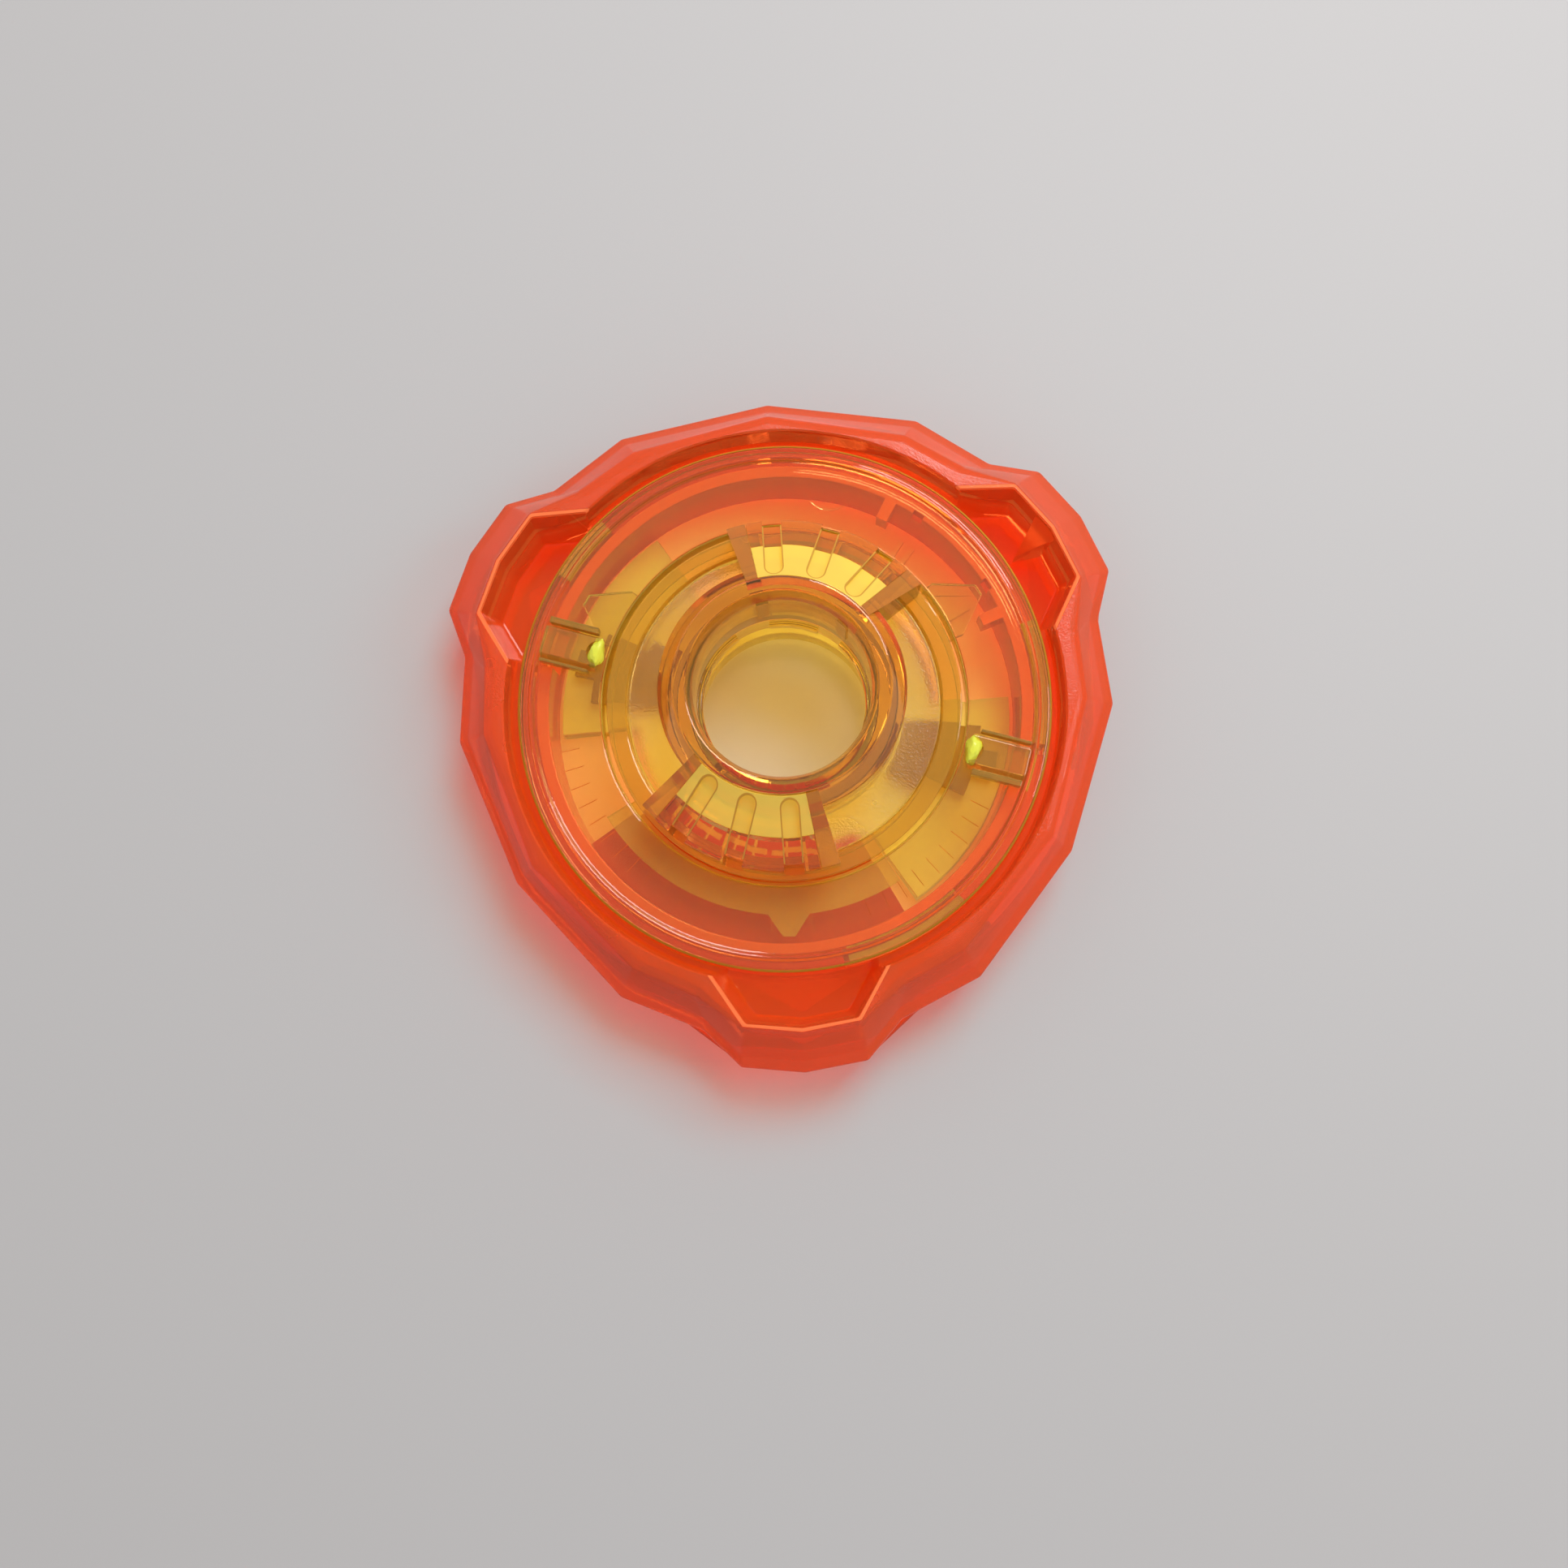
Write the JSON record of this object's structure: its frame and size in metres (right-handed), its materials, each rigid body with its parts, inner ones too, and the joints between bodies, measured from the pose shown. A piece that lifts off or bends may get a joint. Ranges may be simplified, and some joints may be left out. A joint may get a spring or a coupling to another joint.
{
  "type": "spinning top layer",
  "caption": "Transparent three-lobed layer of a modular spinning top, underside up, with a toothed hub dial that turns between two settings round an open bore.",
  "frame": {"origin": "on the spin axis, at the level of the decorative face that the part rests on", "axes": "+Z along the spin axis towards the hub tube; the first lobe points 33 degrees from +X towards +Y, and the picture's right and top are +X and +Y"},
  "size_m": [0.0447, 0.0452, 0.0141],
  "materials": {
    "orange_clear": "transparent moulded plastic, glossy with faint moulding grain",
    "yellow_clear": "transparent moulded plastic, glossy with faint moulding grain"
  },
  "bodies": {
    "shell": {"face_cover": "orange_clear", "face_core": "yellow_clear", "index_ring": "orange_clear", "blade_ring": "orange_clear", "under_plate": "yellow_clear"},
    "dial": {"mode_dial": "yellow_clear"}
  },
  "joints": [
    {"name": "dial_turn", "type": "hinge", "parent": "shell", "child": "dial", "pos_m": [0, 0, 0.0076], "axis": [0, 0, 1], "range_deg": [0, 24]}
  ]
}
